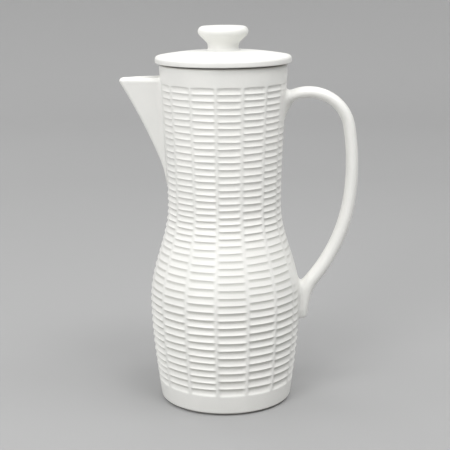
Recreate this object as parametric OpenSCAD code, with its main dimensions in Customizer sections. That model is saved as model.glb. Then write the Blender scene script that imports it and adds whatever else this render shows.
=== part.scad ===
// Tall glazed coffee pot: a waisted body with a beak spout and a strap handle luted on,
// and a domed lid whose flange drops into the mouth. Millimetres, +Z up, origin at the
// middle of the foot, spout towards -X and handle towards +X.

/* [Pot body] */
// Height of the rim above the table
rim_h = 244; // [235:1:255]
// Diameter over the plain band at the rim
rim_d = 90; // [88:0.5:94]
// Depth of the plain band at the rim
band_h = 12; // [8:1:16]
// Diameter at the waist
waist_d = 81.4; // [78:0.2:84]
// Height of the waist
waist_h = 145; // [135:1:155]
// Diameter at the widest part of the belly
belly_d = 108.4; // [102:0.2:114]
// Height of the widest part of the belly
belly_h = 75; // [65:1:85]
// Diameter over the foot
foot_d = 94; // [88:0.5:98]
// Thickness of the cast wall
wall = 4.4; // [3.6:0.2:5]
// Thickness of the floor above the table
floor_h = 7; // [6:0.5:9]

/* [Spout] */
// Distance of the spout's tip from the pot's axis
spout_reach = 73.8; // [68:0.2:80]
// Height of the spout's open top
spout_top_h = 235.4; // [225:0.2:237]
// Height at which the keel runs out on the wall
keel_h = 164.5; // [155:0.5:180]
// How far the keel curves in towards the pot, halfway down
keel_sag = 3.6; // [0:0.2:5]
// Angle between each flank of the beak and the plane of the spout
flank_angle = 15.5; // [12:0.5:20]
// Thickness of the spout's wall
spout_wall = 3.2; // [2.8:0.1:3.6]

/* [Handle] */
// Thickness of the strap near the rim, seen from the side of the pot
strap_t_top = 8; // [7:0.2:9]
// Thickness of the strap at its lower end
strap_t_low = 10.2; // [9:0.2:11]
// Width of the strap, seen from behind the pot
strap_w = 13.2; // [11:0.2:15]
// Height at which the strap leaves the wall
handle_h = 221; // [218:0.5:224]
// Length of the straight end that runs down the belly
tail_l = 12; // [8:1:16]

/* [Lid] */
// Diameter of the lid
lid_d = 95.9; // [92:0.1:100]
// Thickness of the lid's edge
lid_edge_t = 4.6; // [3.6:0.1:5.4]
// Open gap between the lid's edge and the rim, outside the ring it sits on
edge_gap = 1; // [0.5:0.1:1.5]
// Rise of the dome from the edge to the middle
dome_rise = 3.9; // [2.5:0.1:5]
// Play between the lid's flange and the mouth, at each side
flange_play = 0.8; // [0.5:0.1:1.2]
// Depth of the flange in the mouth
flange_h = 13; // [9:0.5:15]

/* [Knob] */
// Height of the knob's top above the table
knob_top_h = 270; // [266:0.5:275]
// Diameter of the knob's head
knob_d = 35.4; // [30:0.2:38]
// Diameter of the knob's neck
neck_d = 21.6; // [18:0.2:24]

/* [Hidden] */

glaze = [0.93, 0.93, 0.91];
$fn = 96;
eps = 0.01;

foot_r = foot_d / 2;
belly_r = belly_d / 2;
waist_r = waist_d / 2;
rim_r = rim_d / 2;
band_z = rim_h - band_h / 2;
mouth_r = rim_r - wall;

outline_step = 5;      // height of one ring of the outline
foot_edge = 2.5;       // rounding of the foot's outer edge
foot_ring_w = 5;       // width of the ring that touches the table
foot_recess = 2.5;     // depth of the hollow under the foot
rim_edge = 1.6;        // rounding of the rim
floor_edge = 9;        // rounding of the inside corner at the floor

nose_r = 3.2;          // rounding of the beak's tip and keel
hollow_r = 1.2;        // rounding of the groove inside the beak
hollow_shift = (spout_wall - nose_r + hollow_r) / sin(flank_angle);
wall_hole_top = 231;   // top of the way through the wall into the beak
wall_hole_low = 178;   // its lower end
keel_steps = 12;       // rings down the beak
nose_steps = 8;        // points round the beak's nose
keel_top = [-spout_reach + 0.2, spout_top_h - 3.2];
keel_end = [-body_r(keel_h), keel_h];
keel_mid = (keel_top + keel_end) / 2 + keel_sag * [0.9, 0.4];

lid_play = 0.2;        // play between the rim and the ring the lid sits on
seat_z = rim_h + lid_play;
seat_r = rim_r - rim_edge;
edge_z = seat_z + edge_gap;
lid_r = lid_d / 2;
lid_corner = 2;        // rounding of the lid's edge
dome_r = lid_r - lid_corner;
dome_ball_r = (pow(dome_r, 2) + pow(dome_rise, 2)) / (2 * dome_rise);
dome_top_z = edge_z + lid_edge_t + dome_rise;
flange_r = mouth_r - flange_play;
flange_t = 3.2;
flange_in_r = flange_r - flange_t;
flange_edge = 1.2;

knob_r = knob_d / 2;
neck_r = neck_d / 2;
head_r = 3.6;          // rounding of the head's edge
flare_r = 4;           // hollow curve at the top of the neck
flare_angle = 45;      // slope of the flare from the neck to the head
neck_foot_r = 1.6;     // hollow curve from the neck to the lid

// Strap centreline: start, heading in degrees above +X, then arcs as [radius, turn],
// where a positive turn bends the strap downwards and a negative one back again.
strap_start = [47.6, handle_h];
strap_heading = 24.6;
strap_arcs = [[29.4, 105.3], [175, 16], [120, 32.5], [23, -31]];
strap_lead = 12;       // straight piece that runs back into the wall
strap_steps = 11;      // rings along each arc
oval_sides = 20;       // points round the strap

// Points of an arc about [x, y], from angle a to angle b
function arc(x, y, r, a, b, n = 8) =
    [for (i = [0:n]) let (t = a + (b - a) * i / n) [x + r * cos(t), y + r * sin(t)]];

// Outside radius of the body at height z
function body_r(z) =
    z < belly_h ? foot_r + (belly_r - foot_r) * sin(90 * z / belly_h)
    : z < waist_h ? (belly_r + waist_r) / 2
        + (belly_r - waist_r) / 2 * cos(180 * (z - belly_h) / (waist_h - belly_h))
    : z < band_z ? waist_r + (rim_r - waist_r) * pow((z - waist_h) / (band_z - waist_h), 1.5)
    : rim_r;

function outer_points() = concat(
    arc(body_r(foot_edge) - foot_edge, foot_edge, foot_edge, -90, 0, 5),
    [for (z = [outline_step:outline_step:band_z]) [body_r(z), z]],
    arc(rim_r - rim_edge, rim_h - rim_edge, rim_edge, 0, 90, 6));

function inner_points() = concat(
    arc(mouth_r + rim_edge, rim_h - rim_edge, rim_edge, 90, 180, 6),
    [for (z = [band_z:-outline_step:floor_h + floor_edge]) [body_r(z) - wall, z]],
    arc(body_r(floor_h) - wall - floor_edge, floor_h + floor_edge, floor_edge, 0, -90, 6));

// Solid of the body's outside, used to fit what is luted onto it
module body_solid() {
    rotate_extrude() polygon(concat([[0, 0]], outer_points(), [[0, rim_h]]));
}

// Closed skin through a list of rings of the same number of points
module skin(rings) {
    n = len(rings[0]);
    last = (len(rings) - 1) * n;
    points = [for (ring = rings, p = ring) p];
    sides = [for (k = [0:len(rings) - 2], i = [0:n - 1])
        let (a = k * n + i, b = k * n + (i + 1) % n) [a, b, b + n, a + n]];
    polyhedron(points, concat(sides,
        [[for (i = [n - 1:-1:0]) i], [for (i = [0:n - 1]) last + i]]));
}

// Point of the keel at fraction t of its curve, from the tip to the wall
function keel_at(t) =
    pow(1 - t, 2) * keel_top + 2 * t * (1 - t) * keel_mid + pow(t, 2) * keel_end;

// Level ring of the beak: a V with a round nose at x, closed inside the pot at root_x
function beak_ring(x, z, r, root_x) =
    let (c = x + r, half_w = r / cos(flank_angle) + (root_x - c) * tan(flank_angle)) concat(
        [[root_x, half_w, z]],
        [for (i = [0:nose_steps])
            let (a = 90 + flank_angle + (180 - 2 * flank_angle) * i / nose_steps)
            [c + r * cos(a), r * sin(a), z]],
        [[root_x, -half_w, z]]);

// Whole beak, or with a shift and a smaller nose the hollow inside it
module beak(shift, r, root_x, top) {
    dx = shift + nose_r - r;
    skin([
        beak_ring(-spout_reach + dx, top, r, root_x),
        for (k = [0:keel_steps]) let (p = keel_at(k / keel_steps))
            beak_ring(p.x + dx, p.y, r, root_x)]);
}

// Hollow inside the beak, between heights low and high
module beak_hollow(low, high) {
    intersection() {
        beak(hollow_shift, hollow_r, -waist_r / 2, rim_h + 1);
        translate([-2 * rim_r, -rim_r, low]) cube([2 * rim_r, rim_d, high - low]);
    }
}

module pot_body() {
    foot_in_r = foot_r - foot_edge - foot_ring_w;
    underside = [[0, foot_recess], [foot_in_r - foot_recess, foot_recess], [foot_in_r, 0]];
    color(glaze) difference() {
        rotate_extrude()
            polygon(concat(underside, outer_points(), inner_points(), [[0, floor_h]]));
        beak_hollow(wall_hole_low, wall_hole_top);
    }
}

module spout() {
    color(glaze) difference() {
        beak(0, nose_r, -waist_r + wall, spout_top_h);
        body_solid();
        beak_hollow(wall_hole_low, rim_h);
    }
}

// Place and heading [x, z, heading] at fraction t of the strap's arc n
function strap_at(n, t) =
    let (p = n == 0 ? [strap_start.x, strap_start.y, strap_heading] : strap_at(n - 1, 1),
         r = strap_arcs[n][0],
         turn = t * strap_arcs[n][1],
         c = p.z + 90 * (turn < 0 ? 1 : -1))
    [p.x + r * cos(c) - r * cos(c - turn), p.y + r * sin(c) - r * sin(c - turn), p.z - turn];

// Place l millimetres straight ahead of p
function ahead(p, l) = [p.x + l * cos(p.z), p.y + l * sin(p.z), p.z];

// Ring of the strap about place p: an oval of thickness t and width w
function oval_ring(p, t, w) = [for (i = [0:oval_sides - 1]) let (a = 360 * i / oval_sides)
    [p.x - t / 2 * cos(a) * sin(p.z), w / 2 * sin(a), p.y + t / 2 * cos(a) * cos(p.z)]];

module handle() {
    arcs = len(strap_arcs);
    start = strap_at(0, 0);
    tail = strap_at(arcs - 1, 1);
    ring_count = arcs * strap_steps;
    lead_ring = oval_ring(ahead(start, -strap_lead), strap_t_top, strap_w);
    body_rings = [for (n = [0:arcs - 1], k = [0:strap_steps - 1])
        oval_ring(strap_at(n, k / strap_steps),
                  strap_t_top + (strap_t_low - strap_t_top) * (n * strap_steps + k) / ring_count,
                  strap_w)];
    tail_rings = [for (a = [0:22.5:90])
        oval_ring(ahead(tail, tail_l + strap_t_low / 2 * sin(a)),
                  max(eps, strap_t_low * cos(a)), strap_w - strap_t_low * (1 - cos(a)))];
    color(glaze) difference() {
        skin(concat([lead_ring], body_rings, [oval_ring(tail, strap_t_low, strap_w)], tail_rings));
        body_solid();
    }
}

// Dome of the lid: height of its top at radius r
function dome_z(r) = dome_top_z - dome_ball_r + sqrt(pow(dome_ball_r, 2) - pow(r, 2));

module lid_cover() {
    steps = 9;
    top = [for (i = [0:steps]) let (r = dome_r * i / steps) [r, dome_z(r)]];
    edge = arc(lid_r - lid_corner, edge_z + lid_edge_t - lid_corner, lid_corner, 80, 0, 6);
    under = arc(lid_r - lid_corner / 2, edge_z + lid_corner / 2, lid_corner / 2, 0, -90, 4);
    seat = [[seat_r + edge_gap, edge_z], [seat_r, seat_z], [flange_in_r, seat_z]];
    hollow = [for (i = [0:steps]) let (r = (flange_in_r - 2) * (1 - i / steps))
        [r, dome_z(r) - lid_edge_t]];
    color(glaze) rotate_extrude()
        polygon(concat(top, edge, under, seat, hollow));
}

module lid_flange() {
    color(glaze) rotate_extrude() polygon(concat(
        [[flange_in_r, seat_z]],
        arc(flange_in_r + flange_edge, seat_z - flange_h + flange_edge, flange_edge, 180, 270, 4),
        arc(flange_r - flange_edge, seat_z - flange_h + flange_edge, flange_edge, 270, 360, 4),
        [[flange_r, seat_z]]));
}

module lid_knob() {
    head_z = knob_top_h - head_r;
    head_low = [knob_r - head_r + head_r * cos(flare_angle), head_z - head_r * sin(flare_angle)];
    flare_low_x = neck_r + flare_r * (1 - cos(flare_angle));
    flare_z = head_low.y - (head_low.x - flare_low_x) * tan(flare_angle)
        - flare_r * sin(flare_angle);
    base = [for (r = [0, neck_r / 2, neck_r]) [r, dome_z(r)]];
    neck_foot = arc(neck_r + neck_foot_r, dome_z(neck_r) + neck_foot_r, neck_foot_r, 265, 180, 5);
    flare = arc(neck_r + flare_r, flare_z, flare_r, 180, 180 - flare_angle, 5);
    head = arc(knob_r - head_r, head_z, head_r, -flare_angle, 90, 12);
    color(glaze) rotate_extrude()
        polygon(concat(base, neck_foot, flare, head, [[0, knob_top_h]]));
}

pot_body();
spout();
handle();
lid_cover();
lid_flange();
lid_knob();
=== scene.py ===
"""Waisted white coffee pot with a woven relief, a beak spout, a strap handle and a loose lid."""

import itertools
import math
import random

import bpy
import numpy as np
from mathutils import Matrix, Vector


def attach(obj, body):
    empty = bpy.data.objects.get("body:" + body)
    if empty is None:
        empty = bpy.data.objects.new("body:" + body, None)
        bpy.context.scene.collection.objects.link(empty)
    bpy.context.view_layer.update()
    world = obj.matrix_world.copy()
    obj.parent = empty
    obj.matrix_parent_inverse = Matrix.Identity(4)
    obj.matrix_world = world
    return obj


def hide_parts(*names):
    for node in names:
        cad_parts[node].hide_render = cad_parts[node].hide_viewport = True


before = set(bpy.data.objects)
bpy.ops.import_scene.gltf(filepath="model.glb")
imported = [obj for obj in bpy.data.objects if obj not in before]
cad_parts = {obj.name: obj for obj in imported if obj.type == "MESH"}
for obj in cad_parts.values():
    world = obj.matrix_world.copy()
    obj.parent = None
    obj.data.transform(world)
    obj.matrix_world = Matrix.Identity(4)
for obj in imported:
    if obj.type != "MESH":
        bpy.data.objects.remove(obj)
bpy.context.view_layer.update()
random.seed(11)

# The pot and its paper are built in millimetres, the lights and the camera are placed in metres.
# The handle is on the side of +X and the spout on that of -X, and the camera looks from -Y.
MM = 0.001

# ---------------------------------------------------------------- sizes of the body
# The outline is the solid's: foot, belly, waist and rim, with a plain band below the rim.
RIM_H, RIM_R = 244.0, 45.0
BAND_Z = 238.0
WAIST_H, WAIST_R = 145.0, 40.7
BELLY_H, BELLY_R = 75.0, 54.18
FOOT_R = 47.0
WALL = 4.4
RIM_EDGE = 2.0
MOUTH_R = RIM_R - WALL

# The floor inside and its rounded corner, the foot's rounded outer edge and the height of that
# edge's middle, the foot ring from outside to inside, and the hollow under the foot.
FLOOR_H, FLOOR_ROUND = 7.0, 9.0
FOOT_EDGE, FOOT_EDGE_Z = 1.7, 3.0
FOOT_RING_R, FOOT_RING_IN = 44.4, 41.0
HOLLOW_R, HOLLOW_H = 37.0, 2.5

# The clay is bare on the rim between two pairs of radii, and on the foot ring below a pair of
# heights; the glaze gives way between the numbers of a pair. On the rim the dark bare clay is
# also painted shade for the gap under the lid.
RIM_BARE_AND_SHADE_OUT, RIM_BARE_AND_SHADE_IN = (RIM_R - 0.7, RIM_R - 1.7), (MOUTH_R + 0.6, MOUTH_R + 1.6)
FOOT_BARE = (1.3, 1.0)

# Radii of the rings of the floor, and heights of the rings of the wall where it is plain.
FLOOR_RINGS = (0, 12, 24)
INSIDE_HEIGHTS = range(20, 236, 5)
BAND_HEIGHTS = (240, 237, 234, 232.6)
FOOT_HEIGHTS = (14, 11.5, 9, 6.5, 4.2)

# ---------------------------------------------------------------- sizes of the relief
# Scoops are cut one under another in columns, with narrow posts left between the columns.
COLUMNS = 15
COLUMN_DEG = 360 / COLUMNS
POST_DEG = 0.6
RELIEF_TOP, RELIEF_LOW = 231.6, 15.2
TOP_EDGE = RELIEF_TOP + 0.25

# A scoop's lines of points, as fractions of its height and of its width.
ROW_STEPS = [0, 0.04, 0.1, 0.19, 0.31, 0.5, 0.7, 0.87, 0.955]
SPAN_STEPS = [0, 0.035, 0.08, 0.13, 0.22, 0.38, 0.62, 0.78, 0.87, 0.92, 0.965, 1]

# Depth of the scoops at the top and the foot, the heights it changes between, the part of it
# that they lose on the belly's shoulder, and where that loss sets in from below and from above.
SCOOP_DEPTH_TOP, SCOOP_DEPTH_LOW = 0.98, 1.56
DEPTH_LOW_Z, DEPTH_TOP_Z = 60, 200
SHALLOWER = 0.65
SHOULDER_STARTS, SHOULDER_ENDS = (62, 90), (142, 114)

# A scoop is deepest at this part of the way down. The curves above and below that are powers,
# and at both its ends it runs out over SCOOP_END.
SCOOP_TURN = 0.3
SCOOP_TOP_POWER, SCOOP_RISE_POWER = 2, 2.1
SCOOP_END = 2.6

# The posts lie below the crests by a part of the depth, which they reach over the first rows
# and lose again over the last ones.
POST_DROP, POST_ROWS = 0.3, 5

# The first row's upper edge is lower at its ends by the bow. Rows stray up and down and lean
# by up to these amounts.
TOP_BOW = 0.7
ROW_STRAY, ROW_LEAN = 0.22, 0.35

# Painted shade greys the glaze under each crest, between these parts of the way down a scoop.
SHADE_STARTS, SHADE_ENDS = (0.02, 0.15), (0.5, 0.3)

# Rows in each column, counted from the handle round the back to the spout and on round the
# front, and how far they stray from even spacing: the heights of one to four half waves.
ROWS = [
    (44, (7, -1, 0.5, 0)),
    (43, (8, -1.5, 0, 0.5)),
    (45, (6, -1, -0.5, 0.5)),
    (44, (7.5, -0.5, 0.5, 0)),
    (42, (7, -1.5, 0.5, 0)),
    (43, (5.5, 0, -1, 0.5)),
    (44, (7, -2, 0, 0.5)),
    (44, (6, -1, 0, 0)),
    (45, (4, -0.5, -1, 0.5)),
    (45, (7, -2, -0.5, 1)),
    (44, (5.5, 0, -1, 0.5)),
    (43, (7, -1.5, 0.5, 0)),
    (42, (8, -0.5, 1, 0)),
    (43, (9, -1, 0.5, 0.5)),
    (43, (9, -0.5, 0.5, 0)),
]

# The wall is smooth in four patches. Two ovals lie at the handle's upper root and at its bend:
# half width in degrees, height of the middle, half height. A slot lies along its tail: half
# width, height of the middle, half length of the straight, length of the round end.
ROOT_PATCH = (25, 214, 19)
BEND_PATCH = (24, 95, 14)
TAIL_PATCH = (13, 78, 14, 14)
# A wedge lies along the spout: half width at its foot, what it gains upwards and between which
# heights, and then by how much its sides close in below its foot, and between which heights.
WEDGE_W, WEDGE_GAIN, WEDGE_SPREADS = 3.2, 10, (158, 226)
WEDGE_CLOSING, WEDGE_CLOSES = 9, (162, 152)
# The relief comes back between these multiples of a patch's size.
HANDLE_FADE, SPOUT_FADE = (0.75, 1.3), (0.85, 1.45)


def smoothstep(low, high, x):
    """0 at low and beyond, 1 at high and beyond, and a soft change between them either way."""
    t = np.clip((np.asarray(x, float) - low) / (high - low), 0, 1)
    return t * t * (3 - 2 * t)


def body_r(z):
    """Outside radius of the body at height z, at the level of the relief's crests."""
    z = np.asarray(z, float)
    low = FOOT_R + (BELLY_R - FOOT_R) * np.sin(math.pi / 2 * z / BELLY_H)
    mid = (BELLY_R + WAIST_R) / 2 + (BELLY_R - WAIST_R) / 2 * np.cos(
        math.pi * (z - BELLY_H) / (WAIST_H - BELLY_H))
    rise = np.clip((z - WAIST_H) / (BAND_Z - WAIST_H), 0, 1)
    high = WAIST_R + (RIM_R - WAIST_R) * rise ** 1.5
    return np.where(z < BELLY_H, low, np.where(z < WAIST_H, mid, high))


def arc(x, y, r, a, b, n=6):
    """Points of an arc about (x, y), from angle a to angle b in degrees."""
    return [(x + r * math.cos(math.radians(a + (b - a) * i / n)),
             y + r * math.sin(math.radians(a + (b - a) * i / n))) for i in range(n + 1)]


# ---------------------------------------------------------------- mesh helpers
def add_mesh(name, verts, faces):
    """New smooth-shaded object from vertices in millimetres."""
    mesh = bpy.data.meshes.new(name)
    mesh.from_pydata([tuple(c * MM for c in v) for v in verts], [], faces)
    mesh.update()
    mesh.polygons.foreach_set("use_smooth", [True] * len(mesh.polygons))
    obj = bpy.data.objects.new(name, mesh)
    bpy.context.scene.collection.objects.link(obj)
    return obj


def add_ring(verts, r, z, turns):
    """Adds a ring of vertices at the angles turns; on the axis, one vertex stands for them all."""
    first = len(verts)
    if r < 1e-6:
        verts.append((0, 0, z))
        return [first] * len(turns)
    verts += [(r * math.cos(a), r * math.sin(a), z) for a in turns]
    return list(range(first, len(verts)))


def add_band(faces, a, b):
    """Adds the faces between two rings of vertices, where a repeated vertex is a point."""
    n = len(a)
    for i in range(n):
        k = (i + 1) % n
        face = []
        for v in (a[i], b[i], b[k], a[k]):
            if v not in face:
                face.append(v)
        if len(face) > 2:
            faces.append(face)


def lathe(name, profile, steps=180):
    """Solid of revolution; the profile runs from axis to axis, or round a ring."""
    verts, faces = [], []
    turns = [2 * math.pi * i / steps for i in range(steps)]
    rings = [add_ring(verts, r, z, turns) for r, z in profile]
    if profile[0][0] > 0:
        rings.append(rings[0])
    for a, b in zip(rings, rings[1:]):
        add_band(faces, a, b)
    return add_mesh(name, verts, faces)


def zip_edges(faces, verts, left, right):
    """Triangles between two downward runs of vertices that may differ in number."""
    i = j = 0
    while i < len(left) - 1 or j < len(right) - 1:
        take_left = j == len(right) - 1 or (
            i < len(left) - 1 and verts[left[i + 1]][2] > verts[right[j + 1]][2])
        if take_left:
            faces.append((left[i], left[i + 1], right[j]))
            i += 1
        else:
            faces.append((left[i], right[j + 1], right[j]))
            j += 1


def store(obj, name, values):
    """Keeps a number per vertex for the material."""
    attribute = obj.data.attributes.new(name, "FLOAT", "POINT")
    attribute.data.foreach_set("value", np.array(values, np.float32))


def vertex_array(obj):
    """Vertices of an object in millimetres."""
    points = np.empty(3 * len(obj.data.vertices), np.float32)
    obj.data.vertices.foreach_get("co", points)
    return points.reshape(-1, 3) / MM


def apply_modifiers(obj):
    """Makes the result of an object's modifiers its mesh."""
    bpy.context.view_layer.update()
    evaluated = obj.evaluated_get(bpy.context.evaluated_depsgraph_get())
    mesh = bpy.data.meshes.new_from_object(evaluated)
    obj.modifiers.clear()
    obj.data = mesh


# ---------------------------------------------------------------- body
def row_heights(rows, waves):
    """Heights of a column's crests, from the top one to the lowest."""
    heights = []
    for k in range(rows + 1):
        s = k / rows
        z = RELIEF_TOP - (RELIEF_TOP - RELIEF_LOW) * s
        z += sum(w * math.sin(math.pi * (n + 1) * s) for n, w in enumerate(waves))
        if 0 < k < rows:
            z += random.uniform(-ROW_STRAY, ROW_STRAY)
        heights.append(z)
    return heights


def scoop_shape(u):
    """Depth of a scoop at fraction u down its height: a short steep top, then a long rise."""
    top = 1 - np.clip(1 - u / SCOOP_TURN, 0, 1) ** SCOOP_TOP_POWER
    rise = 1 - np.clip((u - SCOOP_TURN) / (1 - SCOOP_TURN), 0, 1) ** SCOOP_RISE_POWER
    return np.where(u < SCOOP_TURN, top, rise)


def scoop_depth(z):
    """How deep the scoops are cut at height z; they are shallower on the belly's shoulder."""
    gain = SCOOP_DEPTH_TOP - SCOOP_DEPTH_LOW
    depth = SCOOP_DEPTH_LOW + gain * smoothstep(DEPTH_LOW_Z, DEPTH_TOP_Z, z)
    shoulder = smoothstep(*SHOULDER_STARTS, z) * smoothstep(*SHOULDER_ENDS, z)
    return depth * (1 - SHALLOWER * shoulder)


def relief_mask(deg, z):
    """1 where the scoops are full, 0 where the handle and the spout leave the wall smooth."""
    arc_mm = np.radians(1) * body_r(z)
    side = abs((deg + 180) % 360 - 180)

    def oval(half_deg, middle, half_height):
        return np.hypot(side / half_deg, (z - middle) / half_height)

    half_width, middle, straight, end = TAIL_PATCH
    past = np.maximum(0, abs(z - middle) - straight)
    tail = np.hypot(side * arc_mm / half_width, past / end)
    clear = np.minimum(np.minimum(oval(*ROOT_PATCH), oval(*BEND_PATCH)), tail)

    from_spout = (180 - side) * arc_mm + WEDGE_CLOSING * smoothstep(*WEDGE_CLOSES, z)
    wedge = from_spout / (WEDGE_W + WEDGE_GAIN * smoothstep(*WEDGE_SPREADS, z))
    return smoothstep(*HANDLE_FADE, clear) * smoothstep(*SPOUT_FADE, wedge)


def relief_column(degs, rows, waves):
    """Points of a column's scoops, line by line from the top, and how much painted shade greys
    them.
    """
    crests = np.array(row_heights(rows, waves))
    leans = [random.uniform(-ROW_LEAN, ROW_LEAN) for _ in range(rows - 1)]
    leans = np.array([0] + leans + [0])
    across = np.array(SPAN_STEPS)
    off_middle = across - 0.5
    row = np.repeat(np.arange(rows), len(ROW_STEPS))[:, None]
    down = np.tile(ROW_STEPS, rows)[:, None]
    high = crests[row] + leans[row] * off_middle
    high -= TOP_BOW * np.where(row == 0, np.abs(2 * off_middle) ** 3, 0)
    low = crests[row + 1] + leans[row + 1] * off_middle
    z = high + (low - high) * down
    r = body_r(z)

    margin = r * math.radians(COLUMN_DEG - POST_DEG) * np.minimum(across, 1 - across)
    full = smoothstep(0, SCOOP_END, margin)
    along = row + down
    post = POST_DROP * smoothstep(0, POST_ROWS, along) * smoothstep(rows, rows - POST_ROWS, along)
    fade = relief_mask(degs, z)
    scoop = (post + (scoop_shape(down) - post) * full) * fade
    r = r - scoop_depth(z) * scoop

    # Painted shade: grey under each crest, stronger towards the foot.
    under = smoothstep(*SHADE_STARTS, down) * smoothstep(*SHADE_ENDS, down)
    painted_shade = under * full * fade * smoothstep(DEPTH_TOP_Z, DEPTH_LOW_Z, z)
    turns = np.radians(degs)
    points = np.stack([r * np.cos(turns), r * np.sin(turns), z], -1)
    return points.reshape(-1, 3).tolist(), painted_shade.ravel().tolist()


def plain_profiles():
    """The wall's profile from the middle of its floor up and over the rim to the relief, and
    from the relief round the foot to the middle of the hollow under it."""
    above = [(r, FLOOR_H) for r in FLOOR_RINGS]
    above += arc(float(body_r(FLOOR_H)) - WALL - FLOOR_ROUND, FLOOR_H + FLOOR_ROUND,
                 FLOOR_ROUND, -90, 0)
    above += [(float(body_r(z)) - WALL, z) for z in INSIDE_HEIGHTS]
    above += arc(MOUTH_R + RIM_EDGE, RIM_H - RIM_EDGE, RIM_EDGE, 180, 90, 5)
    above += arc(RIM_R - RIM_EDGE, RIM_H - RIM_EDGE, RIM_EDGE, 90, 0)
    above += [(float(body_r(z)), z) for z in (*BAND_HEIGHTS, TOP_EDGE)]

    below = [(float(body_r(z)), z) for z in (RELIEF_LOW, *FOOT_HEIGHTS)]
    below += arc(float(body_r(FOOT_EDGE_Z)) - FOOT_EDGE, FOOT_EDGE_Z, FOOT_EDGE, 0, -80)
    below += [(FOOT_RING_R + 0.3, 1.25), (FOOT_RING_R, 1.0), (FOOT_RING_R - 0.1, 0.3)]
    below += [(FOOT_RING_R - 0.4, 0), (FOOT_RING_IN, 0), (FOOT_RING_IN - 1, 0.25)]
    below += [(HOLLOW_R + 1.2, HOLLOW_H - 0.4)] + [(r, HOLLOW_H) for r in (HOLLOW_R, 20, 0)]
    return above, below


def pot_wall():
    """The body's shell: plain rings from the floor over the rim, the relief, plain rings again."""
    per = len(SPAN_STEPS)
    degs = [c * COLUMN_DEG + POST_DEG / 2 + (COLUMN_DEG - POST_DEG) * v
            for c in range(COLUMNS) for v in SPAN_STEPS]
    turns = [math.radians(d) for d in degs]
    verts, faces, edges = [], [], []
    above, below = [[add_ring(verts, r, z, turns) for r, z in profile]
                    for profile in plain_profiles()]
    for rings in (above, below):
        for a, b in zip(rings, rings[1:]):
            add_band(faces, a, b)

    painted_shade = [0] * len(verts)
    for c, (rows, waves) in enumerate(ROWS):
        span = slice(c * per, (c + 1) * per)
        points, scoop_shades = relief_column(np.array(degs[span]), rows, waves)
        first = len(verts)
        verts += points
        painted_shade += scoop_shades
        lines = [list(range(i, i + per)) for i in range(first, len(verts), per)]
        lines = [above[-1][span]] + lines + [below[0][span]]
        for a, b in zip(lines, lines[1:]):
            for i in range(per - 1):
                faces.append((a[i], b[i], b[i + 1], a[i + 1]))
        edges.append(([line[0] for line in lines], [line[-1] for line in lines]))
    for c in range(COLUMNS):
        zip_edges(faces, verts, edges[c][1], edges[(c + 1) % COLUMNS][0])

    obj = add_mesh("pot_wall", verts, faces)
    store(obj, "painted_shade", painted_shade)
    x, y, z = np.array(verts).T
    r = np.hypot(x, y)
    # The rim's bare ring is dark partly as bare clay and partly as painted shade under the lid.
    rim = smoothstep(*RIM_BARE_AND_SHADE_OUT, r) * smoothstep(*RIM_BARE_AND_SHADE_IN, r) * (z > RIM_H - RIM_EDGE)
    foot_ring = smoothstep(*FOOT_BARE, z) * (r > HOLLOW_R + 1)
    store(obj, "bare_and_gap_shade", np.maximum(rim, foot_ring))
    return obj


# ---------------------------------------------------------------- spout and handle
# Each is the zero surface of a field that is negative inside the piece. A soft union with the
# wall gives the clay its flare, and the part sunk in the wall is cut off below its surface.
CELL = 0.8            # size of the cells that the fields are sampled in
WALL_SINK = 0.03      # depth at which a flare runs into the plain wall
WALL_BITE = 2.6       # depth at which a piece is cut off inside the wall
RELIEF_SHEDS = 0.4    # level of the relief from which no flare clings to the wall
PATCH_REACH = 9.0     # how far from the piece proper its flare may reach
PATCH_TOP = 239.5     # height at which the spout's flare is cut off

# The strap's centreline: a straight, arcs of radius and turn in degrees, and a straight tail.
# Positive turns are clockwise, seen with the handle on the right.
STRAP_START, STRAP_HEADING = (47.6, 221.0), 24.6
STRAP_ARCS = [(29.4, 105.3), (175, 16), (120, 32.5), (23, -31)]
STRAP_TAIL = 18.2
# Its thickness at both ends, its width, and the power of its oval section, where 2 is an
# ellipse. The tail is thinner again, within so much of where the arcs end, and its end is round.
STRAP_T_TOP, STRAP_T_LOW, STRAP_W = 7.8, 10.1, 13.2
OVAL = 2.1
TAIL_THINS, TAIL_CHANGES, TAIL_ROUND = 3.2, 8, 3.2

# Sizes of the handle's flares: beside, under and above its upper root, and at the end of its
# tail and from there up, with the heights that it grows between.
ROOT_Z, ROOT_SPREAD = 219.5, 3
FLARE_SIDE, FLARE_UNDER, FLARE_TOP = 7.0, 14.0, 4.0
FLARE_END, FLARE_TAIL, TAIL_FLARE_GROWS = 1.8, 7.0, (56, 66)

# The spout is a level V with a round nose, whose keel is a curve through the tip and the end
# that heads for the point between them. Its lip droops a little towards the tip.
KEEL_TIP, KEEL_MID, KEEL_END = (-73.6, 232.2), (-54.0, 199.8), (-41.08, 164.5)
NOSE_R, FLANK_DEG = 3.2, 15.5
LIP_Z, LIP_DROOP, LIP_DROOPS = 235.4, 0.7, (-60, -76)
LIP_OUT_ROUND, LIP_IN_ROUND = 3.6, 1.6
# Size of its flare, what that loses upwards, and the heights between which it does.
SPOUT_FLARE, FLARE_LOSS, FLARE_SHRINKS = 4.5, 2.5, (226, 236)

# Its hollow is the same V, set back from the keel. The way through the wall is the same again,
# narrower by a hair to keep the two surfaces apart. It has a bottom, a top and a rounded inner
# edge, and the piece that cuts it reaches past the wall outside and inside.
GROOVE_R, GROOVE_SHIFT, GROOVE_WIDER = 1.2, 4.49, 0.03
HOLE_LOW, HOLE_LOW_ROUND = 178.0, 2
HOLE_TOP, HOLE_TOP_ROUND = 231.0, 2.5
HOLE_EDGE = 1.3
CUT_PAST_OUT, CUT_PAST_IN = 1.5, 2.5

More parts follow.
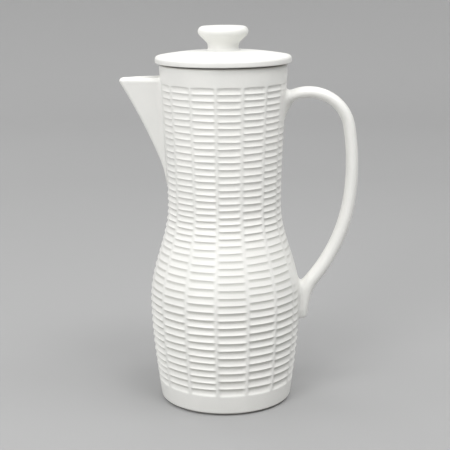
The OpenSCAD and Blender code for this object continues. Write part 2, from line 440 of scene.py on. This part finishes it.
# How a surface is settled: rounds of evening out, how far a point is pulled towards the middle
# of its neighbours, the longest move at once, and the least square of a slope to move along.
ROUNDS, PULL = 6, 0.6
LONGEST_MOVE, LEAST_SLOPE = 0.5, 0.2

# The boxes that the fields are sampled in: lowest and highest corners.
SPOUT_BOX = (-78, -24, 150), (-28, 24, 242)
HANDLE_BOX = (30, -26, 44), (99, 26, 234)
HOLE_BOX = (-52, -16, 172), (-28, 16, 236)


def smooth_min(a, b, k):
    """The smaller of two fields, blended where they differ by less than k."""
    h = np.clip(0.5 + 0.5 * (b - a) / k, 0, 1)
    return b * (1 - h) + a * h - k * h * (1 - h)


def smooth_max(a, b, k):
    """The larger of two fields, blended in the same way."""
    return -smooth_min(-a, -b, k)


def above_wall(x, y, z):
    """Height above the body's outside, at the level of the relief's crests."""
    return np.hypot(x, y) - body_r(z)


def on_wall(part, x, y, z, k):
    """A part luted to the wall with a flare of size k, and cut off inside the wall. Where the
    relief sets in, the skin that the flare clings to sinks past that cut."""
    height = above_wall(x, y, z)
    relief = relief_mask(np.degrees(np.arctan2(y, x)), z)
    skin = height + WALL_SINK + 2 * WALL_BITE * smoothstep(0, RELIEF_SHEDS, relief)
    joined = smooth_min(part, np.maximum(skin, part - PATCH_REACH), k)
    return smooth_max(joined, -height - WALL_BITE, CELL)


def strap_coords(x, z):
    """Distance off the strap's centreline, length run along it, and the length of its arcs."""
    off = np.full(np.shape(x), 1e3)
    run = np.zeros(np.shape(x))

    def keep(mask, n, s):
        near = mask & (abs(n) < abs(off))
        off[near] = n[near]
        run[near] = s[near]

    def straight(px, pz, h, s0, forward):
        s = (x - px) * math.cos(h) + (z - pz) * math.sin(h)
        n = (z - pz) * math.cos(h) - (x - px) * math.sin(h)
        keep(s * forward >= 0, n, s0 + s)

    px, pz = STRAP_START
    heading, length = math.radians(STRAP_HEADING), 0.0
    straight(px, pz, heading, 0, -1)
    for radius, turn in STRAP_ARCS:
        bend, angle = math.copysign(1, turn), math.radians(abs(turn))
        cx = px + bend * radius * math.sin(heading)
        cz = pz - bend * radius * math.cos(heading)
        here = np.arctan2(-bend * (x - cx), bend * (z - cz))
        swept = ((heading - here) * bend + math.pi) % (2 * math.pi) - math.pi
        n = (np.hypot(x - cx, z - cz) - radius) * bend
        keep((swept >= 0) & (swept <= angle), n, length + swept * radius)
        heading -= bend * angle
        px = cx - bend * radius * math.sin(heading)
        pz = cz + bend * radius * math.cos(heading)
        length += radius * angle
    straight(px, pz, heading, length, 1)
    return off, run, length


def handle_field(x, y, z):
    """The strap with its oval section and round end, and the flares of its root and tail."""
    off, run, length = strap_coords(x, z)
    thick = STRAP_T_TOP + (STRAP_T_LOW - STRAP_T_TOP) * np.clip(run / length, 0, 1)
    thick = thick - TAIL_THINS * smoothstep(length - TAIL_CHANGES, length + TAIL_CHANGES, run)
    size = ((abs(off) / thick * 2) ** OVAL + (abs(y) / STRAP_W * 2) ** OVAL) ** (1 / OVAL) + 1e-6
    strap = np.hypot(off, y) * (1 - 1 / size)
    strap = smooth_max(strap, run - length - STRAP_TAIL, TAIL_ROUND)

    rise = (z - ROOT_Z) / np.hypot(z - ROOT_Z, abs(y) + ROOT_SPREAD)
    flare = np.where(rise < 0, FLARE_UNDER, FLARE_TOP) - FLARE_SIDE
    upper = FLARE_SIDE + flare * rise ** 2
    lower = np.interp(z, TAIL_FLARE_GROWS, (FLARE_END, FLARE_TAIL))
    return on_wall(strap, x, y, z, np.where(z > WAIST_H, upper, lower))


def keel_x(z):
    """Where the spout's keel is at height z."""
    a = KEEL_TIP[1] - 2 * KEEL_MID[1] + KEEL_END[1]
    b = 2 * (KEEL_MID[1] - KEEL_TIP[1])
    c = KEEL_TIP[1] - z
    t = np.maximum(0, 2 * c / (-b + np.sqrt(np.maximum(b * b - 4 * a * c, 0))))
    return (1 - t) ** 2 * KEEL_TIP[0] + 2 * t * (1 - t) * KEEL_MID[0] + t ** 2 * KEEL_END[0]


def beak(x, y, z, shift, nose_r):
    """Distance from a level V with a round nose, set back from the keel by shift."""
    u = x - keel_x(z) - shift - NOSE_R
    v = abs(y)
    s, c = math.sin(math.radians(FLANK_DEG)), math.cos(math.radians(FLANK_DEG))
    return np.where(u * c + v * s > 0, v * c - u * s, np.hypot(u, v)) - nose_r


def pour_field(x, y, z):
    """The hollow of the spout, from its open top to the way through the wall."""
    groove = beak(x, y, z, GROOVE_SHIFT, GROOVE_R)
    return smooth_max(groove, HOLE_LOW - z, HOLE_LOW_ROUND)


def spout_field(x, y, z):
    """The beak on the wall, hollowed out."""
    droop = LIP_DROOP * smoothstep(*LIP_DROOPS, x)
    body = smooth_max(beak(x, y, z, 0, NOSE_R), z - LIP_Z + droop, LIP_OUT_ROUND)
    body = on_wall(body, x, y, z, SPOUT_FLARE - FLARE_LOSS * smoothstep(*FLARE_SHRINKS, z))
    body = np.maximum(body, z - PATCH_TOP)
    return smooth_max(body, GROOVE_WIDER - pour_field(x, y, z), LIP_IN_ROUND)


def hole_field(x, y, z):
    """The way through the wall into the spout, its edges rounded where it opens inside."""
    wall = above_wall(x, y, z)
    inner = np.clip(wall + WALL, 0, HOLE_EDGE)
    flare = HOLE_EDGE - np.sqrt(HOLE_EDGE ** 2 - (HOLE_EDGE - inner) ** 2)
    opening = smooth_max(pour_field(x, y, z), z - HOLE_TOP, HOLE_TOP_ROUND)
    reach = np.maximum(wall - CUT_PAST_OUT, -wall - WALL - CUT_PAST_IN)
    return np.maximum(opening - flare, reach)


def surface(field, low, high, step=CELL):
    """Quads on the zero surface of a field: one point in each cell that the surface crosses,
    and one quad round each edge of the grid that it crosses."""
    axes = [np.arange(a, b + step, step) for a, b in zip(low, high)]
    grid = np.meshgrid(*axes, indexing="ij")
    inside = field(*grid) < 0
    shape = np.array(inside.shape) - 1

    def corner(offset):
        return inside[tuple(slice(o, o + n) for o, n in zip(offset, shape))]

    count = sum(corner(offset).astype(int) for offset in itertools.product((0, 1), repeat=3))
    crossed = (count > 0) & (count < 8)
    index = np.full(crossed.shape, -1)
    index[crossed] = np.arange(crossed.sum())
    points = np.array(low) + (np.argwhere(crossed) + 0.5) * step

    quads = []
    for axis in range(3):
        p, q = [(1, 2), (2, 0), (0, 1)][axis]
        near = np.take(inside, range(0, shape[axis]), axis)
        far = np.take(inside, range(1, shape[axis] + 1), axis)
        for edge in np.argwhere(near != far):
            if edge[p] in (0, shape[p]) or edge[q] in (0, shape[q]):
                continue
            quad = []
            for dp, dq in ((1, 1), (0, 1), (0, 0), (1, 0)):
                cell = edge.copy()
                cell[p] -= dp
                cell[q] -= dq
                quad.append(index[tuple(cell)])
            if not near[tuple(edge)]:
                quad.reverse()
            quads.append(quad)
    return points, np.array(quads)


def without_crumbs(points, quads):
    """The largest of the pieces that a surface falls into. Each point takes the lowest number
    among its neighbours', until all the points of a piece have the same one."""
    label = np.arange(len(points))
    while True:
        lowest = label.copy()
        np.minimum.at(lowest, quads.ravel(), np.repeat(label[quads].min(1), 4))
        lowest = lowest[lowest]
        if (lowest == label).all():
            break
        label = lowest
    quads = quads[label[quads[:, 0]] == np.bincount(label).argmax()]
    used, quads = np.unique(quads, return_inverse=True)
    return points[used], quads.reshape(-1, 4)


def slope_of(field, points, reach=0.02):
    """Gradient of a field at points."""
    sides = []
    for axis in range(3):
        shift = np.zeros(3)
        shift[axis] = reach
        sides.append((field(*(points + shift).T) - field(*(points - shift).T)) / (2 * reach))
    return np.array(sides).T


def settle(field, points, quads):
    """Evens out the points of a surface and brings each onto the field's zero."""
    ends = np.concatenate([quads[:, [i, (i + 1) % 4]] for i in range(4)])
    links = np.bincount(ends[:, 0], minlength=len(points))
    for step in range(ROUNDS + 3):
        if step < ROUNDS:
            mean = np.array([np.bincount(ends[:, 0], points[ends[:, 1], axis], len(points))
                             for axis in range(3)]).T / links[:, None]
            points = points + PULL * (mean - points)
        for _ in range(2):
            slope = slope_of(field, points)
            size = np.maximum((slope ** 2).sum(1), LEAST_SLOPE)
            move = (field(*points.T) / size)[:, None] * slope
            reach = np.linalg.norm(move, axis=1)
            points = points - move * np.minimum(1, LONGEST_MOVE / np.maximum(reach, 1e-9))[:, None]
    return points


def unit(vectors):
    """Rows of an array at length 1."""
    return vectors / np.maximum(np.linalg.norm(vectors, axis=1), 1e-9)[:, None]


def wall_normals(points):
    """Directions that the smooth wall faces at points."""
    x, y, z = points.T
    r = np.hypot(x, y)
    return unit(np.array([x / r, y / r, body_r(z - 0.5) - body_r(z + 0.5)]).T)


def luted(name, field, low, high, blend_height=0.7):
    """A piece on the wall, whose shading turns into the wall's where its flare runs out."""
    points, quads = without_crumbs(*surface(field, low, high))
    points = settle(field, points, quads)
    obj = add_mesh(name, points, quads.tolist())
    facing = unit(slope_of(field, points))
    wall = wall_normals(points)
    near = smoothstep(blend_height, 0, above_wall(*points.T)) * ((facing * wall).sum(1) > 0)
    facing = unit(facing + near[:, None] * (wall - facing))
    obj.data.normals_split_custom_set_from_vertices(facing.tolist())
    return obj


def spout():
    """Open beak luted onto the wall."""
    return luted("spout_shell", spout_field, *SPOUT_BOX)


def handle():
    """Strap handle luted onto the wall."""
    return luted("handle_strap", handle_field, *HANDLE_BOX)


def cut_pour_hole(wall):
    """Opens the wall into the spout."""
    points, quads = surface(hole_field, *HOLE_BOX)
    points = settle(hole_field, points, quads)
    cutter = add_mesh("pour_hole", points, quads.tolist())
    cut = wall.modifiers.new("pour_hole", "BOOLEAN")
    cut.operation, cut.solver, cut.object = "DIFFERENCE", "MANIFOLD", cutter
    apply_modifiers(wall)
    bpy.data.objects.remove(cutter)


# ---------------------------------------------------------------- lid
# The plate: its radius and that of the seat under it, the heights of the seat and of the edge's
# underside, the edge's thickness and rounded corners, and the dome, a cap of a large ball.
LID_R, SEAT_R = 47.95, 42.4
SEAT_Z, EDGE_Z = 244.2, 245.0
EDGE_T, EDGE_TOP_R, EDGE_LOW_R = 4.8, 2.1, 0.8
EDGE_STARTS = 72      # angle at which the edge's upper corner takes over from the dome
DOME_R, DOME_RISE = LID_R - 2, 3.9
DOME_BALL = (DOME_R ** 2 + DOME_RISE ** 2) / (2 * DOME_RISE)
DOME_TOP = EDGE_Z + EDGE_T + DOME_RISE
# Radii between which the glaze under the edge gives way to bare clay, dark also as painted shade
# in the gap over the rim.
LID_BARE_AND_SHADE = (46.8, 45.8)

# The flange: its radii, its height, its rounded lower corners, and the depths of its upper
# rings below the seat; the first lies inside the plate.
FLANGE_R, FLANGE_IN, FLANGE_H = 39.8, 36.6, 13.0
FLANGE_ROUND = 1.2
FLANGE_RINGS = (-0.02, 4, 8)

# The knob: a round-edged disc whose underside slopes in to a neck with a small foot, sunk a
# little into the dome.
KNOB_TOP, KNOB_R, NECK_R = 270.0, 17.7, 10.8
HEAD_ROUND, NECK_ROUND, NECK_FOOT = 3.6, 4.0, 1.6
KNOB_SLOPE = 45
KNOB_SINK = 0.6


def dome_z(r):
    """Height of the lid's top at radius r."""
    return DOME_TOP - DOME_BALL + math.sqrt(DOME_BALL ** 2 - r ** 2)


def lid_cover():
    """Domed plate with a seat for the rim, hollow underneath."""
    top = [(r, dome_z(r)) for r in np.linspace(0, DOME_R - 0.6, 16)]
    edge = arc(LID_R - EDGE_TOP_R, EDGE_Z + EDGE_T - EDGE_TOP_R, EDGE_TOP_R, EDGE_STARTS, 0, 8)
    under = arc(LID_R - EDGE_LOW_R, EDGE_Z + EDGE_LOW_R, EDGE_LOW_R, 0, -90)
    under += [(SEAT_R + 1.4, EDGE_Z), (SEAT_R + 0.5, EDGE_Z - 0.3), (SEAT_R, SEAT_Z + 0.2)]
    under += [(SEAT_R - 0.2, SEAT_Z), (FLANGE_IN + 0.1, SEAT_Z)]
    hollow = [(r, dome_z(r) - EDGE_T) for r in np.linspace(FLANGE_IN - 1.6, 0, 12)]
    obj = lathe("lid_dome", top + edge + under + hollow)
    x, y, z = vertex_array(obj).T
    r = np.hypot(x, y)
    underside = (z < EDGE_Z + 0.1) * (r > FLANGE_R - 0.5)
    # The bare ring under the edge is dark partly as bare clay and partly as painted shade in the
    # gap.
    store(obj, "bare_and_gap_shade", smoothstep(*LID_BARE_AND_SHADE, r) * underside)
    return obj


def lid_flange():
    """Ring that drops into the mouth."""
    low = SEAT_Z - FLANGE_H
    profile = [(FLANGE_R, SEAT_Z - depth) for depth in FLANGE_RINGS]
    profile += arc(FLANGE_R - FLANGE_ROUND, low + FLANGE_ROUND, FLANGE_ROUND, 0, -90)
    profile += arc(FLANGE_IN + FLANGE_ROUND, low + FLANGE_ROUND, FLANGE_ROUND, -90, -180)
    profile += [(FLANGE_IN, SEAT_Z - depth) for depth in reversed(FLANGE_RINGS)]
    return lathe("lid_ring", profile)


def lid_knob():
    """Knob on a neck."""
    s, c = math.sin(math.radians(KNOB_SLOPE)), math.cos(math.radians(KNOB_SLOPE))
    head_x, head_z = KNOB_R - HEAD_ROUND, KNOB_TOP - HEAD_ROUND
    slope_x, slope_z = head_x + HEAD_ROUND * c, head_z - HEAD_ROUND * s
    flare_x = NECK_R + NECK_ROUND * (1 - c)
    flare_z = slope_z - (slope_x - flare_x) * s / c - NECK_ROUND * s
    top = [(r, KNOB_TOP) for r in (0, 5, 10)]
    head = arc(head_x, head_z, HEAD_ROUND, 90, -KNOB_SLOPE, 14)
    neck = arc(NECK_R + NECK_ROUND, flare_z, NECK_ROUND, 180 - KNOB_SLOPE, 180)
    foot = arc(NECK_R + NECK_FOOT, dome_z(NECK_R) + NECK_FOOT, NECK_FOOT, 180, 262)
    base = [(NECK_R, dome_z(NECK_R) - KNOB_SINK), (0, dome_z(0) - KNOB_SINK)]
    return lathe("lid_grip", top + head + neck + foot + base, 140)


# ---------------------------------------------------------------- materials
# Colours of the glaze, from its darker to its lighter clouds, the grey of painted shade under the
# scoops' crests, and of the bare clay, whose darkness is also painted shade in the lid's gap; then
# how rough they are, and the thin gloss on top.
GLAZE_CLOUDS = (0.745, 0.745, 0.715), (0.775, 0.77, 0.74)
PAINTED_SCOOP_SHADE = (0.60, 0.60, 0.56)
BARE_CLAY_AND_GAP_SHADE = (0.44, 0.42, 0.38)
GLAZE_ROUGH, CLAY_ROUGH = (0.40, 0.52), 0.8
GLAZE_IOR, COAT, COAT_ROUGH = 1.5, 0.12, 0.3

# Fineness of the clouds, of the patches of roughness and of the bump, and the ranges of noise
# that are stretched over the first two. The bump's height is in metres.
CLOUD_SCALE, CLOUD_RANGE = 28, (0.35, 0.65)
PATCH_SCALE, PATCH_RANGE = 90, (0.3, 0.7)
BUMP_SCALE, BUMP_STRENGTH, BUMP_HEIGHT = 700, 0.25, 0.0002

# Greys of the paper's grain on the floor and on the wall, and the distances in metres between
# which one turns into the other.
FLOOR_GREYS, WALL_GREYS = (0.338, 0.348), (0.385, 0.395)
GREY_CHANGES = (0.9, 1.8)
PAPER_SCALE, PAPER_RANGE, PAPER_ROUGH = 900, (0.3, 0.7), 0.95


def surface_material(name):
    """New material, its node tree, its shader and its coordinates on the object."""
    material = bpy.data.materials.new(name)
    material.use_nodes = True
    tree = material.node_tree
    tree.nodes.clear()
    out = tree.nodes.new("ShaderNodeOutputMaterial")
    shader = tree.nodes.new("ShaderNodeBsdfPrincipled")
    tree.links.new(shader.outputs["BSDF"], out.inputs["Surface"])
    coords = tree.nodes.new("ShaderNodeTexCoord").outputs["Object"]
    return material, tree, shader, coords


def noise(tree, coords, scale, detail):
    """Noise between 0 and 1, whose scale is in waves per metre."""
    node = tree.nodes.new("ShaderNodeTexNoise")
    node.inputs["Scale"].default_value = scale
    node.inputs["Detail"].default_value = detail
    tree.links.new(coords, node.inputs["Vector"])
    return node.outputs["Fac"]


def ramp(tree, value, low, high, to_low=0.0, to_high=1.0):
    """Maps value from [low, high] to [to_low, to_high]."""
    node = tree.nodes.new("ShaderNodeMapRange")
    node.inputs["From Min"].default_value = low
    node.inputs["From Max"].default_value = high
    node.inputs["To Min"].default_value = to_low
    node.inputs["To Max"].default_value = to_high
    tree.links.new(value, node.inputs["Value"])
    return node.outputs["Result"]


def stored(tree, name):
    """A number that is kept per vertex."""
    node = tree.nodes.new("ShaderNodeAttribute")
    node.attribute_name = name
    return node.outputs["Fac"]


def mix(tree, factor, a, b):
    """Colour that goes from a to b, each a colour or a socket, as the factor rises."""
    node = tree.nodes.new("ShaderNodeMix")
    node.data_type = "RGBA"
    tree.links.new(factor, node.inputs["Factor"])
    for value, socket in ((a, node.inputs["A"]), (b, node.inputs["B"])):
        if isinstance(value, tuple):
            socket.default_value = (*value, 1)
        else:
            tree.links.new(value, socket)
    return node.outputs["Result"]


def blend(tree, factor, a, b):
    """Number that goes from socket a to the constant b as the factor rises."""
    node = tree.nodes.new("ShaderNodeMix")
    tree.links.new(factor, node.inputs["Factor"])
    tree.links.new(a, node.inputs["A"])
    node.inputs["B"].default_value = b
    return node.outputs["Result"]


def glaze():
    """Cloudy off-white satin glaze, greyed under the scoops' crests as painted shade, and the bare
    clay, darkened also as painted shade in the gap under the lid.
    """
    material, tree, shader, coords = surface_material("satin_white_glaze")
    bare_and_gap_shade = stored(tree, "bare_and_gap_shade")

    cloud = ramp(tree, noise(tree, coords, CLOUD_SCALE, 4), *CLOUD_RANGE)
    colour = mix(tree, cloud, *GLAZE_CLOUDS)
    # Painted shade: the glaze greys under the scoops' crests.
    colour = mix(tree, stored(tree, "painted_shade"), colour, PAINTED_SCOOP_SHADE)
    # Bare clay, dark enough to be painted shade in the gap between lid and rim as well.
    colour = mix(tree, bare_and_gap_shade, colour, BARE_CLAY_AND_GAP_SHADE)
    tree.links.new(colour, shader.inputs["Base Color"])

    patchy = ramp(tree, noise(tree, coords, PATCH_SCALE, 4), *PATCH_RANGE, *GLAZE_ROUGH)
    tree.links.new(blend(tree, bare_and_gap_shade, patchy, CLAY_ROUGH), shader.inputs["Roughness"])
    shader.inputs["IOR"].default_value = GLAZE_IOR
    shader.inputs["Coat Weight"].default_value = COAT
    shader.inputs["Coat Roughness"].default_value = COAT_ROUGH

    bump = tree.nodes.new("ShaderNodeBump")
    bump.inputs["Strength"].default_value = BUMP_STRENGTH
    bump.inputs["Distance"].default_value = BUMP_HEIGHT
    tree.links.new(noise(tree, coords, BUMP_SCALE, 3), bump.inputs["Height"])
    tree.links.new(bump.outputs["Normal"], shader.inputs["Normal"])
    return material


def paper():
    """Matt grey paper with a fine grain, a little lighter on the wall than on the floor."""
    material, tree, shader, coords = surface_material("studio_paper")
    grain = ramp(tree, noise(tree, coords, PAPER_SCALE, 3), *PAPER_RANGE)
    distance = tree.nodes.new("ShaderNodeVectorMath")
    distance.operation = "LENGTH"
    tree.links.new(coords, distance.inputs[0])
    far = ramp(tree, distance.outputs["Value"], *GREY_CHANGES)
    floor, wall = [mix(tree, grain, *[(grey, grey, grey) for grey in greys])
                   for greys in (FLOOR_GREYS, WALL_GREYS)]
    tree.links.new(mix(tree, far, floor, wall), shader.inputs["Base Color"])
    shader.inputs["Roughness"].default_value = PAPER_ROUGH
    return material


# ---------------------------------------------------------------- stage, lights, camera
# The paper in millimetres: radii of the rings of its flat floor, radius of the bend at its edge,
# height of its wall, and how far it lies below the foot.
PAPER_RINGS = (0, 150, 400, 800, 1200, 1500)
PAPER_BEND, PAPER_H = 800, 1500
PAPER_DROP = 0.02

# Square soft boxes at one distance, in metres, from a point in the middle of the pot: name,
# azimuth and elevation in degrees, side in metres and power in watts. SKY is the strength of
# the white world round them.
LIGHT_REACH, LIGHT_AIM = 1.9, (0, 0, 0.12)
LIGHTS = [
    ("high_front_left", 330, 62, 0.5, 3.6),
    ("high_front_right", 30, 62, 0.5, 7.0),
    ("front", 0, 52, 0.7, 1.7),
    ("front_right", 45, 52, 0.7, 3.0),
    ("low_front_left", 330, 24, 0.7, 12.3),
    ("low_left", 275, 24, 0.7, 4.0),
    ("low_back_left", 225, 24, 0.7, 3.6),
    ("low_back", 180, 24, 0.7, 1.1),
    ("low_back_right", 135, 24, 0.7, 0.8),
    ("low_right", 90, 24, 0.7, 1.0),
    ("high_right", 75, 60, 0.7, 5.0),
]
SKY = 0.95

# The camera: lens and sensor in millimetres, angles in degrees, the point it looks at and its
# distance from there in metres.
LENS, SENSOR = 96, 36
CAMERA_AZIMUTH, CAMERA_ELEVATION, CAMERA_ROLL = 1, 12.706, 0.49
CAMERA_AIM, CAMERA_REACH = (0.00022, 0, 0.12795), 0.8667


def backdrop():
    """Paper floor that curves up into a low wall all round."""
    flat = PAPER_RINGS[-1]
    line = [(r, -PAPER_DROP) for r in PAPER_RINGS]
    line += [(flat + PAPER_BEND * math.sin(a), PAPER_BEND * (1 - math.cos(a)) - PAPER_DROP)
             for a in np.linspace(0.1, math.pi / 2, 14)]
    line.append((flat + PAPER_BEND, PAPER_H))
    obj = lathe("backdrop", line, 128)
    obj.data.materials.append(paper())
    return obj


def toward(azimuth, elevation):
    """Direction from the pot; azimuth 0 is the camera's side, 90 the handle's."""
    a, e = math.radians(azimuth), math.radians(elevation)
    return Vector((math.cos(e) * math.sin(a), -math.cos(e) * math.cos(a), math.sin(e)))


def soft_light(name, azimuth, elevation, size, power):
    """Square area light that faces the pot."""
    data = bpy.data.lights.new(name, "AREA")
    data.shape = "SQUARE"
    data.size = size
    data.energy = power
    obj = bpy.data.objects.new(name, data)
    away = toward(azimuth, elevation)
    obj.location = Vector(LIGHT_AIM) + LIGHT_REACH * away
    obj.rotation_euler = (-away).to_track_quat("-Z", "Y").to_euler()
    bpy.context.scene.collection.objects.link(obj)


def studio():
    """White world and soft boxes, with colours shown as they are."""
    world = bpy.data.worlds.new("studio")
    world.use_nodes = True
    background = world.node_tree.nodes["Background"]
    background.inputs["Color"].default_value = (1, 1, 1, 1)
    background.inputs["Strength"].default_value = SKY
    bpy.context.scene.world = world
    bpy.context.scene.view_settings.view_transform = "Standard"
    for light in LIGHTS:
        soft_light(*light)


def camera():
    """Long lens in front of the pot, a little above it, with a slight roll."""
    data = bpy.data.cameras.new("camera")
    data.sensor_width = SENSOR
    data.lens = LENS
    obj = bpy.data.objects.new("camera", data)
    back = toward(CAMERA_AZIMUTH, CAMERA_ELEVATION)
    right = Vector((0, 0, 1)).cross(back).normalized()
    up = back.cross(right)
    roll = math.radians(CAMERA_ROLL)
    level = right * math.cos(roll) - up * math.sin(roll)
    tall = up * math.cos(roll) + right * math.sin(roll)
    place = Matrix.Translation(Vector(CAMERA_AIM) + back * CAMERA_REACH)
    obj.matrix_world = place @ Matrix((level, tall, back)).transposed().to_4x4()
    bpy.context.scene.collection.objects.link(obj)
    bpy.context.scene.camera = obj


# ---------------------------------------------------------------- assembly
camera()
studio()
backdrop()

white = glaze()
wall = pot_wall()
cut_pour_hole(wall)
pieces = [
    (wall, "pot", "glazed_body", ["pot_body"]),
    (spout(), "pot", "glazed_body", ["spout"]),
    (handle(), "pot", "glazed_body", ["handle"]),
    (lid_cover(), "lid", "glazed_lid", ["lid_cover"]),
    (lid_knob(), "lid", "glazed_lid", ["lid_knob"]),
    (lid_flange(), "lid_lifter", "glazed_lid", ["lid_flange"]),
]
for obj, body, slot, nodes in pieces:
    obj.data.materials.clear()
    obj.data.materials.append(white)
    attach(obj, body)
    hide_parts(*nodes)
